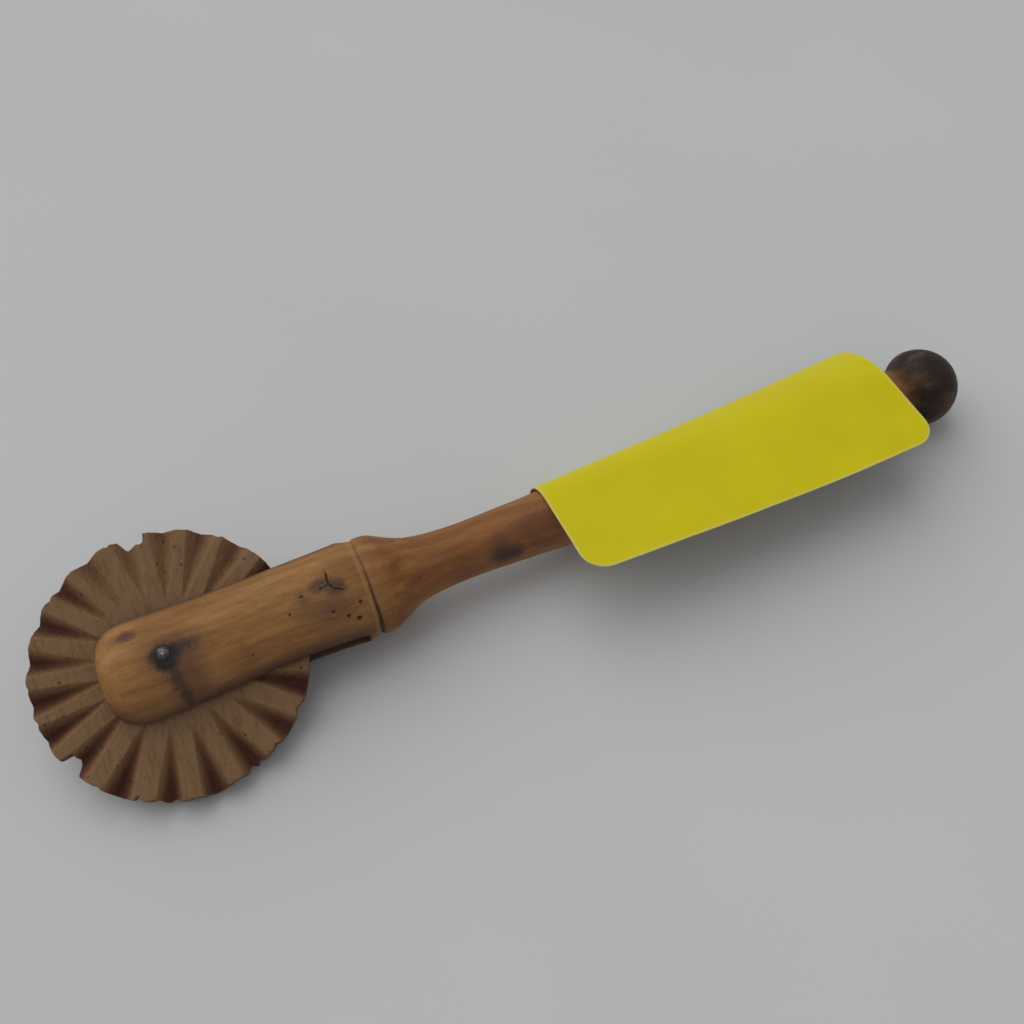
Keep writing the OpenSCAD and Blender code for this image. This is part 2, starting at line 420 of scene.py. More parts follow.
def flute_depth(theta, r, centres, seed):
    """Depth of the flutes of one face at angle theta (degrees) and radius r."""
    rng = np.random.default_rng(seed)
    out = np.zeros_like(r)
    for c in centres:
        start = 6.9 + rng.uniform(-0.9, 0.9)
        full = 2.18 * rng.uniform(0.86, 1.0)
        lean_w = rng.uniform(-0.16, 0.16)
        wand = rng.uniform(-1.0, 1.0)
        d = full * np.clip((r - start) / (WHEEL_R - start), 0, 1.1) ** 0.92
        s = np.radians(turn_gap(theta, c + wand * (WHEEL_R - r) / 9)) * r
        s = np.sqrt(s * s + 0.006) * (1 + lean_w * np.sign(s))
        out = np.maximum(out, d - s * 1.15)
    k = 0.22      # rounding of the lands' edges
    return np.where(out > k, out, np.where(out > -k, (out + k) ** 2 / (4 * k), 0))


def rim_radius(theta):
    """Radius of the rim with its chips and nicks."""
    t = np.radians(theta)
    circ = np.stack([np.cos(t), np.sin(t), 0 * t], 1)
    r = WHEEL_R - 0.02 - 0.09 * (1 + fbm(circ * 7, 3, 71)) - 0.05 * np.abs(vnoise(circ * 40, 73))
    a = turn_gap(theta, 84.3)
    chip = step(a, -0.25, 0.35) * (1 - step(a, 7.6, 11.2)) * (1.15 + 0.3 * step(a, 1, 5))
    r -= chip * (1 + 0.16 * vnoise(circ * 30, 77))
    a = turn_gap(theta, 203.9)
    chip = step(a, -0.3, 0.9) * (1 - step(a, 5.2, 9.3)) * 1.6
    r -= chip * (1 + 0.12 * vnoise(circ * 30, 78))
    for c, w, dep in ((239.5, 1.3, 0.55), (247, 2.2, 0.3), (254, 1.6, 0.42), (287.5, 1.7, 0.6),
                      (292, 1.4, 0.45), (99.5, 1.0, 0.2), (132, 1.5, 0.25), (171, 1.2, 0.2),
                      (186, 1.6, 0.22), (222, 1.2, 0.25), (301, 1.2, 0.3), (318, 1.8, 0.28),
                      (21, 1.5, 0.3), (52, 1.4, 0.2)):
        r -= dep * bell(turn_gap(theta, c), 0, w)
    return r


def build_wheel():
    n = 720
    theta = np.arange(n) * 360.0 / n
    inner = np.linspace(PIN_R + 0.06, 5.8, 10)
    outer = np.linspace(5.8, WHEEL_R - 0.16, 45)[1:]
    radii = np.concatenate([inner, outer])
    mids = sorted((a + ((b - a) % 360) / 2) % 360
                  for a, b in zip(TOP_FLUTES, TOP_FLUTES[1:] + TOP_FLUTES[:1]))
    rim = rim_radius(theta)
    t = np.radians(theta)
    verts, groove, faces = [], [], []
    rings = []
    faint = step(theta, 22, 40) * (1 - step(theta, 108, 124))    # worn flutes

    def face_ring(base, side):
        # rows near the rim are drawn in where it is chipped
        share = np.clip((base - 11.5) / (WHEEL_R - 11.5), 0, 1)
        r = base - share * (WHEEL_R - rim)
        dep = flute_depth(theta, r, TOP_FLUTES if side > 0 else mids, 5 if side > 0 else 6)
        dep = np.minimum(dep, 2.14) * (1 - 0.28 * faint * (side > 0))
        z = side * (HALF_T - dep)
        return r, z, dep

    def add(r, z, dep):
        n0 = len(verts)
        for k in range(n):
            verts.append((r[k] * math.cos(t[k]), r[k] * math.sin(t[k]), z[k]))
        groove.extend(dep * (1 - 0.45 * faint))
        rings.append(list(range(n0, n0 + n)))

    for base in radii:
        add(*face_ring(base, 1))
    edge = {s: face_ring(WHEEL_R - 0.16, s) for s in (1, -1)}
    for a in (35, 65, 90):
        q = math.radians(a)
        r, z, dep = edge[1]
        add(r + 0.16 * math.sin(q), z - 0.14 * (1 - math.cos(q)), dep)
    ztop, zbot = edge[1][1] - 0.14, edge[-1][1] + 0.14
    for f in (0.33, 0.67):
        add(edge[1][0] + 0.16, ztop * (1 - f) + zbot * f, edge[1][2] * (1 - f) + edge[-1][2] * f)
    for a in (90, 65, 35):
        q = math.radians(a)
        r, z, dep = edge[-1]
        add(r + 0.16 * math.sin(q), z + 0.14 * (1 - math.cos(q)), dep)
    for base in radii[::-1]:
        add(*face_ring(base, -1))
    add(np.full(n, PIN_R + 0.06), np.full(n, -0.5), np.zeros(n))
    add(np.full(n, PIN_R + 0.06), np.full(n, 0.5), np.zeros(n))
    for a, b in zip(rings, rings[1:] + rings[:1]):
        faces += ring_faces(a, b)
    ob = make_mesh("fluted_wheel", verts, faces)
    # knife-cut and furry surface
    me = ob.data
    p, nn = coords(me), normals(me)
    r = np.hypot(p[:, 0], p[:, 1])
    ang = np.degrees(np.arctan2(p[:, 1], p[:, 0]))
    cuts = vnoise(np.stack([ang / 1.1, r / 5, np.sign(p[:, 2])], 1), 81)
    d = 0.035 * fbm(p / 0.8, 3, 83) + 0.022 * cuts * step(r, 6, 9) + 0.05 * fbm(p / 3.1, 2, 85)
    d -= 0.06
    d *= step(r, 1.2, 3)
    inside = (r < 6.2)
    d = np.where(inside, np.minimum(d, 0), d)
    p2 = p + nn * d[:, None]
    far = np.hypot(p2[:, 0], p2[:, 1])
    keep = np.minimum(1, (WHEEL_R - 0.01) / np.maximum(far, 1e-6))
    p2[:, 0] *= keep
    p2[:, 1] *= keep
    p2[:, 2] = np.clip(p2[:, 2], -HALF_T, HALF_T)
    set_coords(me, p2)
    # flute depth, which also drives the painted shade of the valleys in the wheel's material
    add_float(me, "groove", np.asarray(groove) / 2.14)
    return ob


# ---------------------------------------------------------------------------
# Nail
# ---------------------------------------------------------------------------
def build_nail():
    n = 40
    end = HEAD_R - 0.02
    rows = []
    for a in (20, 35, 50, 62, 72, 80, 86):
        rows.append((PIN_R * 0.985 * math.sin(math.radians(a)), end + 0.2 * math.cos(math.radians(a))))
    rows.append((PIN_R * 0.985, end - 0.04))
    side = np.linspace(end - 0.3, -(end - 0.3), 26)
    rows += [(PIN_R * 0.985, z) for z in side]
    rows.append((PIN_R * 0.985, -(end - 0.04)))
    for a in (86, 80, 72, 62, 50, 35, 20):
        rows.append((PIN_R * 0.985 * math.sin(math.radians(a)), -end - 0.2 * math.cos(math.radians(a))))
    verts, faces, rings = [(0, 0, end + 0.2)], [], []
    for r, z in rows:
        rings.append(list(range(len(verts), len(verts) + n)))
        verts += [(r * math.cos(2 * math.pi * k / n), r * math.sin(2 * math.pi * k / n), z) for k in range(n)]
    bottom = len(verts)
    verts.append((0, 0, -end - 0.2))
    for a, b in zip(rings[:-1], rings[1:]):
        faces += ring_faces(a, b)
    faces += [(0, rings[0][(k + 1) % n], rings[0][k]) for k in range(n)]
    faces += [(bottom, rings[-1][k], rings[-1][(k + 1) % n]) for k in range(n)]
    ob = make_mesh("nail_axle", verts, faces)
    sub = ob.modifiers.new("sub", "SUBSURF")
    sub.levels = sub.render_levels = 1
    bpy.context.view_layer.update()
    got = bpy.data.meshes.new_from_object(ob.evaluated_get(bpy.context.evaluated_depsgraph_get()))
    ob.modifiers.clear()
    ob.data = got
    p = coords(got)
    out = step(np.abs(p[:, 2]), end - 0.05, end + 0.05)
    d = 0.06 * fbm(p / np.array([0.42, 0.42, 3.0]), 3, 91) - 0.02
    p[:, 2] += np.sign(p[:, 2]) * out * d
    set_coords(got, p)
    return ob


# ---------------------------------------------------------------------------
# Paper label
# ---------------------------------------------------------------------------
LABEL_X, LABEL_L, LABEL_H, LABEL_T, CORNER = 48.8, 50.8, 25.4, 0.14, 3.2


def sheet_point(u, s, w):
    a = np.radians(26.4 + (19.4 - 26.4) * u)
    r = 5.4 + (13.1 - 5.4) * u
    f = 13.0 + (11.0 - 13.0) * u + 4 * 0.45 * u * (1 - u)
    gap = GRIP_R + 0.05 + 1.03 * bow(LABEL_X + LABEL_L * u) * np.sin(a)
    n = np.stack([np.sin(a), np.cos(a)], -1)
    e = np.stack([-np.cos(a), np.sin(a)], -1)
    g = np.maximum(s - f, 0) / r
    flat = (gap + w)[..., None] * n + (f - s)[..., None] * e
    curl = ((gap - r)[..., None] * n
            + (r + w)[..., None] * (np.cos(g)[..., None] * n - np.sin(g)[..., None] * e))
    q = np.where((s < f)[..., None], flat, curl)
    return np.concatenate([(LABEL_X + LABEL_L * u)[..., None], q], -1)


def build_label():
    nu, ns = 150, 78

    def cut(x):
        return np.where(x >= CORNER, 0.0, CORNER - np.sqrt(np.maximum(0, CORNER ** 2 - (CORNER - x) ** 2)))

    k = np.linspace(0, math.pi / 2, 15)
    xs = np.concatenate([CORNER * (1 - np.cos(k)), np.linspace(CORNER, LABEL_L - CORNER, nu - 28)[1:-1],
                         LABEL_L - CORNER * (1 - np.sin(k))])
    xs = np.clip(xs, 0, LABEL_L)
    verts, layers = [], []
    for w in (0.0, LABEL_T):
        ids = []
        for x in xs:
            c = float(min(cut(np.array(x)), CORNER) + max(0.0, float(cut(np.array(LABEL_L - x)))))
            c = min(c, LABEL_H / 2 - 1)
            s = np.linspace(c, LABEL_H - c, ns)
            u = np.full(ns, x / LABEL_L)
            p = sheet_point(u, s, np.full(ns, w))
            # slight waves of a stuck-down paper, and the lifted flap's ripple
            q = np.stack([u * LABEL_L, s, 0 * s], 1)
            a = np.radians(26.4 - 7 * u)
            wave = 0.07 * fbm(q / np.array([9, 6, 1]), 3, 101) + 0.10 * vnoise(q / np.array([17, 11, 1]), 103)
            free = np.clip((11 - s) / 11, 0, 1)
            wave = wave * (0.35 + 1.3 * free) + 0.06
            wave += 0.16 * bell(q[:, 0], 25, 7) * bell(s, 9.5, 3.5) * 0.6
            p[:, 1] += np.sin(a) * wave
            p[:, 2] += np.cos(a) * wave
            ids.append(list(range(len(verts), len(verts) + ns)))
            verts += [tuple(v) for v in p]
        layers.append(ids)
    inner, outer = layers
    faces = []
    for a, b in zip(inner[:-1], inner[1:]):
        faces += grid_faces(a, b)
    for a, b in zip(outer[:-1], outer[1:]):
        faces += [tuple(reversed(f)) for f in grid_faces(a, b)]
    loop_i = inner[0] + [r[-1] for r in inner[1:]] + inner[-1][-2::-1] + [r[0] for r in inner[-2:0:-1]]
    loop_o = outer[0] + [r[-1] for r in outer[1:]] + outer[-1][-2::-1] + [r[0] for r in outer[-2:0:-1]]
    faces += [(a, b, d, c) for a, b, c, d in
              zip(loop_i, loop_i[1:] + loop_i[:1], loop_o, loop_o[1:] + loop_o[:1])]
    ob = make_mesh("paper_label", verts, faces)
    half = len(inner) * ns
    under = np.array([1.0] * half + [0.0] * half)
    add_float(ob.data, "under", under)
    # distance from the cut edge, for the edge's wear
    su = np.tile(np.repeat(xs, ns), 2)
    sv = np.concatenate([np.linspace(0, LABEL_H, ns)] * (2 * len(inner)))
    add_float(ob.data, "along", su)
    add_float(ob.data, "across", sv)
    return ob


# ---------------------------------------------------------------------------
# Materials
# ---------------------------------------------------------------------------
class Tree:
    """Short calls for building a node tree."""

    def __init__(self, name):
        self.mat = bpy.data.materials.new(name)
        self.mat.use_nodes = True
        self.nt = self.mat.node_tree
        self.nt.nodes.clear()
        self.out = self.nt.nodes.new("ShaderNodeOutputMaterial")
        self.bsdf = self.nt.nodes.new("ShaderNodeBsdfPrincipled")
        self.nt.links.new(self.bsdf.outputs[0], self.out.inputs[0])

    def put(self, socket, value):
        if isinstance(value, bpy.types.NodeSocket):
            self.nt.links.new(value, socket)
        elif value is not None:
            if socket.type == "RGBA" and len(value) == 3:
                value = (*value, 1)
            socket.default_value = value

    def m(self, op, a, b=None, c=None, clamp=False):
        n = self.nt.nodes.new("ShaderNodeMath")
        n.operation, n.use_clamp = op, clamp
        for s, v in zip(n.inputs, (a, b, c)):
            self.put(s, v)
        return n.outputs[0]

    def v(self, op, a, b=None, scale=None):
        n = self.nt.nodes.new("ShaderNodeVectorMath")
        n.operation = op
        self.put(n.inputs[0], a)
        if b is not None:
            self.put(n.inputs[1], b)
        if scale is not None:
            self.put(n.inputs["Scale"], scale)
        return n.outputs["Value"] if op in ("LENGTH", "DOT_PRODUCT", "DISTANCE") else n.outputs[0]

    def split(self, a):
        n = self.nt.nodes.new("ShaderNodeSeparateXYZ")
        self.put(n.inputs[0], a)
        return n.outputs[0], n.outputs[1], n.outputs[2]

    def join(self, x, y, z):
        n = self.nt.nodes.new("ShaderNodeCombineXYZ")
        for s, v in zip(n.inputs, (x, y, z)):
            self.put(s, v)
        return n.outputs[0]

    def noise(self, vec, scale=1.0, detail=3.0, rough=0.5, distort=0.0, colour=False):
        n = self.nt.nodes.new("ShaderNodeTexNoise")
        self.put(n.inputs["Vector"], vec)
        n.inputs["Scale"].default_value = scale
        n.inputs["Detail"].default_value = detail
        n.inputs["Roughness"].default_value = rough
        n.inputs["Distortion"].default_value = distort
        return n.outputs["Color"] if colour else n.outputs["Fac"]

    def voronoi(self, vec, scale=1.0, feature="F1", rand=1.0):
        n = self.nt.nodes.new("ShaderNodeTexVoronoi")
        n.feature = feature
        self.put(n.inputs["Vector"], vec)
        n.inputs["Scale"].default_value = scale
        n.inputs["Randomness"].default_value = rand
        return n.outputs["Distance"]

    def span(self, value, a, b, c=0.0, d=1.0, smooth=True):
        n = self.nt.nodes.new("ShaderNodeMapRange")
        n.interpolation_type = "SMOOTHSTEP" if smooth else "LINEAR"
        for s, v in zip(n.inputs, (value, a, b, c, d)):
            self.put(s, v)
        return n.outputs[0]

    def mix(self, fac, a, b, blend="MIX"):
        n = self.nt.nodes.new("ShaderNodeMix")
        n.data_type, n.blend_type = "RGBA", blend
        n.clamp_factor = True
        self.put(n.inputs[0], fac)
        self.put(n.inputs[6], a)
        self.put(n.inputs[7], b)
        return n.outputs[2]

    def ramp(self, fac, stops, interp="LINEAR"):
        n = self.nt.nodes.new("ShaderNodeValToRGB")
        cr = n.color_ramp
        cr.interpolation = interp
        while len(cr.elements) < len(stops):
            cr.elements.new(0.5)
        for e, (pos, col) in zip(cr.elements, stops):
            e.position = pos
            e.color = (*col, 1)
        self.put(n.inputs[0], fac)
        return n.outputs[0]

    def attr(self, name):
        n = self.nt.nodes.new("ShaderNodeAttribute")
        n.attribute_name = name
        return n.outputs["Fac"]

    def mm(self):
        """The tool's own coordinates in millimetres."""
        n = self.nt.nodes.new("ShaderNodeTexCoord")
        q = self.v("SCALE", n.outputs["Object"], scale=1000.0)
        q = self.v("SUBTRACT", q, tuple(float(a) * 1000 for a in AT))
        return self.join(*[self.v("DOT_PRODUCT", q, tuple(map(float, AX[:, i]))) for i in range(3)])

    def spot(self, p, centre, radii, soft=0.5):
        """1 inside an ellipsoid, fading to 0 across its edge."""
        q = self.v("SUBTRACT", p, centre)
        q = self.v("DIVIDE", q, radii)
        return self.span(self.v("LENGTH", q), 1.0 + soft, 1.0 - soft, 0.0, 1.0)

    def segment(self, p, a, b):
        """Distance from a straight line piece."""
        ba = tuple(q - w for q, w in zip(b, a))
        k = sum(q * q for q in ba)
        pa = self.v("SUBTRACT", p, a)
        h = self.m("MULTIPLY", self.v("DOT_PRODUCT", pa, ba), 1.0 / k, clamp=True)
        return self.v("LENGTH", self.v("SUBTRACT", pa, self.v("SCALE", ba, scale=h)))

    def bump(self, height_mm, strength=1.0):
        n = self.nt.nodes.new("ShaderNodeBump")
        n.inputs["Strength"].default_value = strength
        n.inputs["Distance"].default_value = 0.001
        self.put(n.inputs["Height"], height_mm)
        self.nt.links.new(n.outputs[0], self.bsdf.inputs["Normal"])


def wood_handle():
    t = Tree("turned_wood")
    P = t.mm()
    X, Y, Z = t.split(P)
    wander = t.noise(t.v("MULTIPLY", P, (0.06, 0.16, 0.16)), 1.0, 2.0, colour=True)
    wander = t.v("SCALE", t.v("SUBTRACT", wander, (0.5, 0.5, 0.5)), scale=2.2)
    W = t.v("ADD", P, t.v("MULTIPLY", wander, (2.0, 1.0, 1.0)))
    ragged = t.noise(P, 1.6, 4.0, 0.6, colour=True)
    ragged = t.v("SCALE", t.v("SUBTRACT", ragged, (0.5, 0.5, 0.5)), scale=1.0)
    R1 = t.v("ADD", P, t.v("SCALE", ragged, scale=1.6))
    R2 = t.v("ADD", P, t.v("SCALE", ragged, scale=0.7))

    # grain: broad soft streaks, fine lines and short flecks along the handle
    streak = t.noise(t.v("MULTIPLY", W, (0.07, 0.62, 0.62)), 1.0, 4.0, 0.55)
    lines = t.noise(t.v("MULTIPLY", W, (0.16, 2.9, 2.9)), 1.0, 3.0, 0.6)
    fleck = t.noise(t.v("MULTIPLY", W, (0.75, 6.5, 6.5)), 1.0, 3.0, 0.65)
    patch = t.noise(t.v("MULTIPLY", P, (0.10, 0.17, 0.17)), 1.0, 3.0, 0.55)
    dust = t.noise(P, 4.5, 3.0, 0.7)

    head = t.ramp(streak, [(0.30, (0.245, 0.110, 0.036)), (0.44, (0.310, 0.145, 0.044)),
                           (0.56, (0.365, 0.178, 0.055)), (0.72, (0.415, 0.225, 0.080))])
    neck = t.ramp(streak, [(0.30, (0.190, 0.072, 0.021)), (0.46, (0.265, 0.102, 0.028)),
                           (0.58, (0.330, 0.138, 0.036)), (0.72, (0.370, 0.170, 0.052))])
    ball = t.ramp(streak, [(0.30, (0.012, 0.006, 0.005)), (0.5, (0.022, 0.011, 0.008)),
                           (0.72, (0.050, 0.024, 0.014))])
    wobble = t.m("MULTIPLY_ADD", patch, 3.0, -1.5)
    Xw = t.m("ADD", X, wobble)
    col = t.mix(t.span(Xw, 23.6, 27.5), head, neck)
    col = t.mix(t.span(X, 99.5, 103.5), col, ball)
    # red-brown and greyed areas
    col = t.mix(t.m("MULTIPLY", t.span(patch, 0.50, 0.68), 0.42), col, (0.190, 0.078, 0.030))
    col = t.mix(t.m("MULTIPLY", t.span(patch, 0.42, 0.28), 0.30), col, (0.330, 0.190, 0.085))
    # fine grain
    col = t.mix(t.m("MULTIPLY", t.span(lines, 0.52, 0.36), 0.30), col, (0.74, 0.62, 0.56), "MULTIPLY")
    col = t.mix(t.m("MULTIPLY", t.span(fleck, 0.50, 0.30), 0.45), col, (0.55, 0.46, 0.42), "MULTIPLY")
    col = t.mix(t.m("MULTIPLY", t.span(fleck, 0.60, 0.78), 0.35), col, (0.42, 0.25, 0.12))
    col = t.mix(t.m("MULTIPLY", t.span(dust, 0.60, 0.80), 0.16), col, (0.40, 0.30, 0.20))

    # darker along the saw slot, darkest at the tip: painted shade with some dirt; the slot's inner faces get painted
    # shade
    edge = t.span(t.m("ABSOLUTE", Z), 4.4, 1.9)
    front = t.span(X, 24.5, 21.0)
    slot_shade_and_grime = t.m("MULTIPLY", t.m("MULTIPLY", edge, front), t.span(patch, 0.25, 0.6, 0.35, 0.9))
    col = t.mix(slot_shade_and_grime, col, (0.060, 0.030, 0.026))
    # painted shade on the inner faces of the slot, standing in for occlusion
    inner = t.m("MULTIPLY", t.span(t.m("ABSOLUTE", Z), 2.05, 1.85), t.span(X, 23.0, 22.6))
    col = t.mix(t.m("MULTIPLY", inner, 0.8), col, (0.050, 0.026, 0.018))
    # near side darker: partly painted shade, partly handling dirt
    side = t.m("MULTIPLY", t.span(Y, -2.0, -6.2), t.span(X, 30.0, 20.0))
    col = t.mix(t.m("MULTIPLY", side, 0.35), col, (0.085, 0.040, 0.028))

    # stains: colour, strength, ellipsoids
    purple, iron = (0.085, 0.040, 0.036), (0.020, 0.016, 0.017)

    def stain(col, p, places, colour, strength, soft=0.5):
        for centre, radii in places:
            f = t.m("MULTIPLY", t.spot(p, centre, radii, soft), strength)
            col = t.mix(f, col, colour)
        return col

    col = stain(col, R1, [((17.9, -1.3, 5.9), (2.6, 1.5, 2.0)), ((16.6, 0.3, 6.3), (0.9, 0.9, 1.2)),
                          ((20.4, -2.2, 5.7), (2.0, 1.7, 2.0))], purple, 0.42, 0.7)
    col = stain(col, R1, [((-3.4, 3.6, 5.8), (1.15, 0.75, 1.2))], (0.105, 0.040, 0.034), 0.8, 0.45)
    # nail: iron bleeding into the wood, above and below
    col = stain(col, R1, [((1.0, -0.4, 6.5), (3.4, 2.6, 2.2)), ((1.6, -4.0, 5.0), (2.3, 3.0, 3.0)),
                          ((0.6, -0.6, -6.5), (3.0, 2.6, 2.0))], (0.105, 0.048, 0.034), 0.62, 0.6)
    col = stain(col, R1, [((2.2, 0.1, 6.5), (1.9, 0.75, 1.2)), ((0.5, -3.0, 5.8), (0.75, 1.7, 1.6)),
                          ((0.9, -5.2, 4.0), (0.65, 1.6, 1.8))], (0.048, 0.028, 0.030), 0.70, 0.6)
    col = stain(col, R2, [((0.1, -0.35, 6.5), (1.75, 1.35, 1.2)), ((-0.1, -1.3, 6.4), (1.0, 0.8, 1.0)),
                          ((0.0, 0.0, -6.5), (1.6, 1.4, 1.2))], iron, 0.95, 0.42)
    # knot
    col = stain(col, R2, [((19.1, 1.15, 6.3), (1.55, 0.95, 1.2)), ((20.6, 0.65, 6.3), (1.3, 0.85, 1.2))],
                (0.108, 0.062, 0.034), 0.85, 0.35)
    col = stain(col, R2, [((20.9, -0.1, 6.3), (1.2, 0.6, 1.2))], (0.062, 0.032, 0.024), 0.6, 0.6)
    # neck blotches
    col = stain(col, R1, [((41.4, -2.3, 2.4), (1.7, 1.3, 1.6)), ((43.2, -2.4, 2.4), (1.2, 0.8, 1.4))],
                (0.034, 0.020, 0.022), 0.82, 0.65)
    col = stain(col, R1, [((41.3, -0.6, 3.6), (1.3, 1.1, 1.2)), ((37.0, -2.6, 1.9), (2.4, 1.4, 1.8)),
                          ((47.0, -1.0, 3.4), (4.0, 2.8, 2.8))], (0.115, 0.042, 0.026), 0.55, 0.7)
    # little dark pits
    col = stain(col, P, [((20.99, -3.18, 5.17), (0.26, 0.22, 0.3)), ((22.09, -3.74, 4.72), (0.34, 0.28, 0.34)),
                         ((22.8, -2.2, 5.76), (0.24, 0.22, 0.3)), ((19.46, -2.23, 5.73), (0.2, 0.2, 0.3)),
                         ((16.56, 0.69, 6.35), (0.24, 0.2, 0.3)), ((14.62, -0.84, 6.21), (0.2, 0.16, 0.3)),
                         ((28.4, -2.8, 4.3), (0.2, 0.16, 0.3)), ((30.6, -1.6, 3.9), (0.22, 0.16, 0.3)),
                         ((9.2, -3.6, 5.2), (0.22, 0.14, 0.3)), ((11.9, -4.6, 4.4), (0.18, 0.16, 0.3))],
                (0.022, 0.012, 0.010), 0.92, 0.45)
    # collar: painted highlight along the raised line, painted shadow in the groove beside it
    Xc = t.m("ADD", X, t.m("MULTIPLY_ADD", t.noise(P, 0.35, 2.0), 0.3, -0.15))
    collar_lit_line = t.span(t.m("ABSOLUTE", t.m("SUBTRACT", Xc, 24.0)), 0.34, 0.10)
    col = t.mix(t.m("MULTIPLY", collar_lit_line, 0.40), col, (0.370, 0.215, 0.100))
    # painted shadow in the groove, wider and darker on the near side
    groove_shadow_width = t.span(Y, 3.0, -5.0, 0.14, 0.36)
    groove_shadow = t.span(t.m("ABSOLUTE", t.m("SUBTRACT", Xc, 24.5)), groove_shadow_width, 0.02)
    col = t.mix(t.m("MULTIPLY", groove_shadow, t.span(Y, 5.0, -4.0, 0.45, 0.9)), col, (0.040, 0.020, 0.016))
    # cracks
    jag = t.v("ADD", P, t.v("SCALE", t.v("SUBTRACT", t.noise(P, 3.2, 3.0, 0.7, colour=True), (0.5, 0.5, 0.5)), scale=0.5))
    jag = t.v("MULTIPLY", jag, (1.0, 1.0, 0.0))
    near = None
    for a, b in CRACKS:
        dist = t.segment(jag, a, b)
        near = dist if near is None else t.m("MINIMUM", near, dist)
    crack = t.m("MULTIPLY", t.span(near, 0.13, 0.035), t.span(Z, 4.0, 4.5))
    col = t.mix(t.m("MULTIPLY", crack, 0.97), col, (0.012, 0.007, 0.006))
    t.put(t.bsdf.inputs["Base Color"], col)

    # gloss: dry head, hand-polished neck and ball
    rough = t.span(X, 22.0, 32.0, 0.70, 0.54)
    rough = t.m("MULTIPLY_ADD", fleck, -0.14, t.m("ADD", rough, 0.07))
    rough = t.m("MULTIPLY_ADD", patch, 0.12, t.m("SUBTRACT", rough, 0.06))
    t.put(t.bsdf.inputs["Roughness"], rough)
    t.bsdf.inputs["Specular IOR Level"].default_value = 0.26

    h = t.m("MULTIPLY", t.span(fleck, 0.30, 0.62), 0.016)
    h = t.m("MULTIPLY_ADD", lines, 0.030, h)
    h = t.m("MULTIPLY_ADD", dust, 0.012, h)
    h = t.m("MULTIPLY_ADD", t.noise(P, 1.1, 3.0, 0.55), 0.04, h)
    h = t.m("SUBTRACT", h, t.m("MULTIPLY", crack, 0.10))
    t.bump(h)
    return t.mat


def wood_wheel():
    t = Tree("wheel_wood")
    P = t.mm()
    X, Y, Z = t.split(P)
    g = t.attr("groove")
    r = t.v("LENGTH", t.join(X, Y, 0.0))
    speck = t.noise(P, 2.6, 4.0, 0.7)
    fine = t.noise(P, 6.5, 3.0, 0.7)
    patch = t.noise(P, 0.22, 3.0, 0.6)
    fibre = t.noise(t.v("MULTIPLY", P, (2.2, 0.35, 2.2)), 1.0, 4.0, 0.65)
    # painted shade in the flute valleys: colour darkens with groove depth, lands stay lighter
    groove_shade_fac = t.m("MULTIPLY_ADD", t.m("SUBTRACT", speck, 0.5), 0.30, g)
    groove_shade_fac = t.m("MULTIPLY_ADD", t.m("SUBTRACT", patch, 0.5), 0.35, groove_shade_fac)
    col = t.ramp(groove_shade_fac, [(0.0, (0.255, 0.148, 0.076)), (0.18, (0.225, 0.122, 0.060)),
                      (0.40, (0.155, 0.076, 0.040)), (0.66, (0.085, 0.034, 0.023)),
                      (0.95, (0.046, 0.020, 0.017))])
    # the flat middle is duller and dusty, the rim redder
    dusty = t.m("MULTIPLY", t.span(r, 10.0, 6.0), 0.6)
    col = t.mix(dusty, col, (0.205, 0.125, 0.070))
    red = t.m("MULTIPLY", t.m("MULTIPLY", t.span(r, 11.5, 15.5), t.span(g, 0.15, 0.6)), 0.5)
    col = t.mix(red, col, (0.120, 0.042, 0.026))
    tan = t.m("MULTIPLY", t.m("MULTIPLY", t.span(patch, 0.48, 0.66), t.span(g, 0.35, 0.05)), 0.5)
    col = t.mix(tan, col, (0.255, 0.150, 0.074))
    col = t.mix(t.m("MULTIPLY", t.span(fibre, 0.52, 0.32), 0.45), col, (0.58, 0.48, 0.44), "MULTIPLY")
    col = t.mix(t.m("MULTIPLY", t.span(fine, 0.50, 0.28), 0.55), col, (0.50, 0.42, 0.38), "MULTIPLY")
    col = t.mix(t.m("MULTIPLY", t.span(fine, 0.62, 0.80), 0.32), col, (0.330, 0.235, 0.155))
    # blackened spots by the rim and shade under the cheeks
    dots = t.span(t.voronoi(P, 0.55), 0.16, 0.05)
    col = t.mix(t.m("MULTIPLY", dots, t.span(r, 9.0, 12.0, 0.0, 0.7)), col, (0.035, 0.018, 0.014))
    col = t.mix(t.span(r, 5.2, 3.0, 0.0, 0.7), col, (0.040, 0.024, 0.020))
    t.put(t.bsdf.inputs["Base Color"], col)
    t.put(t.bsdf.inputs["Roughness"], t.m("MULTIPLY_ADD", fine, -0.18, 0.86))
    t.bsdf.inputs["Specular IOR Level"].default_value = 0.14
    h = t.m("MULTIPLY", fine, 0.075)
    h = t.m("MULTIPLY_ADD", speck, 0.10, h)
    h = t.m("MULTIPLY_ADD", fibre, 0.06, h)
    t.bump(h)
    return t.mat


